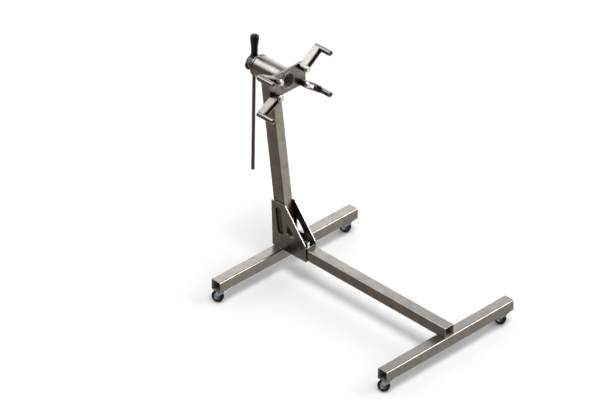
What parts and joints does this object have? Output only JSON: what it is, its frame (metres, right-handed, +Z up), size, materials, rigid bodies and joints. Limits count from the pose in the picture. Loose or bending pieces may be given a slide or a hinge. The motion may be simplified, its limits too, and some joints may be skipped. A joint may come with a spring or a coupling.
{
  "type": "engine stand",
  "caption": "Rolling engine stand: caster base, leaning mast, and a rotating head with slotted swinging arms and a black-gripped turning bar.",
  "frame": {"origin": "on the floor under the middle of the overall box", "axes": "+Z up, the crossbars along X, the head and its arms facing -Y, the turning bar at the +Y side"},
  "size_m": [0.772, 1.1001, 1.0201],
  "materials": {
    "pewter_coat": "glossy metallic coat",
    "steel": "satin",
    "bar_steel": "satin",
    "zinc": "bright plated",
    "bronze": "satin",
    "black_grip": "glossy",
    "black_rubber": "matt"
  },
  "bodies": {
    "base": {"rear_crossbar": "pewter_coat", "front_crossbar": "pewter_coat", "base_leg": "pewter_coat", "left_gusset": "pewter_coat", "right_gusset": "pewter_coat", "sleeve_floor": "pewter_coat", "sleeve_roof": "pewter_coat", "leg_clamp_bolt": "zinc", "leg_clamp_washer": "zinc", "leg_clamp_nut": "zinc", "mast": "pewter_coat", "head_housing": "pewter_coat", "front_bushing": "bronze", "rear_bushing": "bronze", "caster_stem_rear_left": "zinc", "caster_nut_rear_left": "zinc", "caster_stem_rear_right": "zinc", "caster_nut_rear_right": "zinc", "caster_stem_front_left": "zinc", "caster_nut_front_left": "zinc", "caster_stem_front_right": "zinc", "caster_nut_front_right": "zinc"},
    "head": {"head_pipe": "pewter_coat", "head_plate": "pewter_coat", "retaining_ring": "pewter_coat", "turning_collar": "steel"},
    "handle": {"turning_bar": "bar_steel", "bar_grip": "black_grip"},
    "arm_clamp_upper_right": {"arm_bolt_upper_right": "zinc", "arm_washer_upper_right": "zinc", "arm_nut_upper_right": "zinc"},
    "arm_upper_right": {"arm_strap_upper_right": "pewter_coat", "standoff_tube_upper_right": "pewter_coat"},
    "arm_clamp_upper_left": {"arm_bolt_upper_left": "zinc", "arm_washer_upper_left": "zinc", "arm_nut_upper_left": "zinc"},
    "arm_upper_left": {"arm_strap_upper_left": "pewter_coat", "standoff_tube_upper_left": "pewter_coat"},
    "arm_clamp_lower_left": {"arm_bolt_lower_left": "zinc", "arm_washer_lower_left": "zinc", "arm_nut_lower_left": "zinc"},
    "arm_lower_left": {"arm_strap_lower_left": "pewter_coat", "standoff_tube_lower_left": "pewter_coat"},
    "arm_clamp_lower_right": {"arm_bolt_lower_right": "zinc", "arm_washer_lower_right": "zinc", "arm_nut_lower_right": "zinc"},
    "arm_lower_right": {"arm_strap_lower_right": "pewter_coat", "standoff_tube_lower_right": "pewter_coat"},
    "caster_swivel_rear_left": {"caster_fork_rear_left": "zinc", "caster_axle_rear_left": "zinc"},
    "caster_roll_rear_left": {"caster_wheel_rear_left": "black_rubber"},
    "caster_swivel_rear_right": {"caster_fork_rear_right": "zinc", "caster_axle_rear_right": "zinc"},
    "caster_roll_rear_right": {"caster_wheel_rear_right": "black_rubber"},
    "caster_swivel_front_left": {"caster_fork_front_left": "zinc", "caster_axle_front_left": "zinc"},
    "caster_roll_front_left": {"caster_wheel_front_left": "black_rubber"},
    "caster_swivel_front_right": {"caster_fork_front_right": "zinc", "caster_axle_front_right": "zinc"},
    "caster_roll_front_right": {"caster_wheel_front_right": "black_rubber"}
  },
  "joints": [
    {"name": "head_rotation", "type": "hinge", "parent": "base", "child": "head", "pos_m": [-0.0107, 0.4285, 0.892], "axis": [0, 1, 0], "continuous": true},
    {"name": "handle_slide", "type": "slide", "parent": "head", "child": "handle", "axis": [0.0227, 0, 0.9997], "range_m": [0, 0.44]},
    {"name": "arm_swing_upper_right", "type": "hinge", "parent": "head", "child": "arm_clamp_upper_right", "pos_m": [0.0608, 0.344, 0.928], "axis": [0, -1, 0], "range_deg": [-30, 45]},
    {"name": "arm_slide_upper_right", "type": "slide", "parent": "arm_clamp_upper_right", "child": "arm_upper_right", "axis": [-0.809, 0, -0.5878], "range_m": [0, 0.02]},
    {"name": "arm_swing_upper_left", "type": "hinge", "parent": "head", "child": "arm_clamp_upper_left", "pos_m": [-0.0822, 0.344, 0.928], "axis": [0, -1, 0], "range_deg": [-45, 30]},
    {"name": "arm_slide_upper_left", "type": "slide", "parent": "arm_clamp_upper_left", "child": "arm_upper_left", "axis": [0.8788, 0, -0.4772], "range_m": [0, 0.02]},
    {"name": "arm_swing_lower_left", "type": "hinge", "parent": "head", "child": "arm_clamp_lower_left", "pos_m": [-0.0822, 0.344, 0.856], "axis": [0, -1, 0], "range_deg": [-30, 45]},
    {"name": "arm_slide_lower_left", "type": "slide", "parent": "arm_clamp_lower_left", "child": "arm_lower_left", "axis": [0.891, 0, 0.454], "range_m": [0, 0.02]},
    {"name": "arm_swing_lower_right", "type": "hinge", "parent": "head", "child": "arm_clamp_lower_right", "pos_m": [0.0608, 0.344, 0.856], "axis": [0, -1, 0], "range_deg": [-45, 30]},
    {"name": "arm_slide_lower_right", "type": "slide", "parent": "arm_clamp_lower_right", "child": "arm_lower_right", "axis": [-0.809, 0, 0.5878], "range_m": [0, 0.02]},
    {"name": "caster_swivel_rear_left", "type": "hinge", "parent": "base", "child": "caster_swivel_rear_left", "pos_m": [-0.3574, 0.3685, 0.0566], "axis": [0, 0, 1], "continuous": true},
    {"name": "caster_roll_rear_left", "type": "hinge", "parent": "caster_swivel_rear_left", "child": "caster_roll_rear_left", "pos_m": [-0.36219, 0.38324, 0.025], "axis": [0.9511, 0.309, 0], "continuous": true},
    {"name": "caster_swivel_rear_right", "type": "hinge", "parent": "base", "child": "caster_swivel_rear_right", "pos_m": [0.3574, 0.3685, 0.0566], "axis": [0, 0, 1], "continuous": true},
    {"name": "caster_roll_rear_right", "type": "hinge", "parent": "caster_swivel_rear_right", "child": "caster_roll_rear_right", "pos_m": [0.35261, 0.38324, 0.025], "axis": [0.9511, 0.309, 0], "continuous": true},
    {"name": "caster_swivel_front_left", "type": "hinge", "parent": "base", "child": "caster_swivel_front_left", "pos_m": [-0.3264, -0.525, 0.0566], "axis": [0, 0, 1], "continuous": true},
    {"name": "caster_roll_front_left", "type": "hinge", "parent": "caster_swivel_front_left", "child": "caster_roll_front_left", "pos_m": [-0.33119, -0.51026, 0.025], "axis": [0.9511, 0.309, 0], "continuous": true},
    {"name": "caster_swivel_front_right", "type": "hinge", "parent": "base", "child": "caster_swivel_front_right", "pos_m": [0.3264, -0.525, 0.0566], "axis": [0, 0, 1], "continuous": true},
    {"name": "caster_roll_front_right", "type": "hinge", "parent": "caster_swivel_front_right", "child": "caster_roll_front_right", "pos_m": [0.32161, -0.51026, 0.025], "axis": [0.9511, 0.309, 0], "continuous": true}
  ]
}
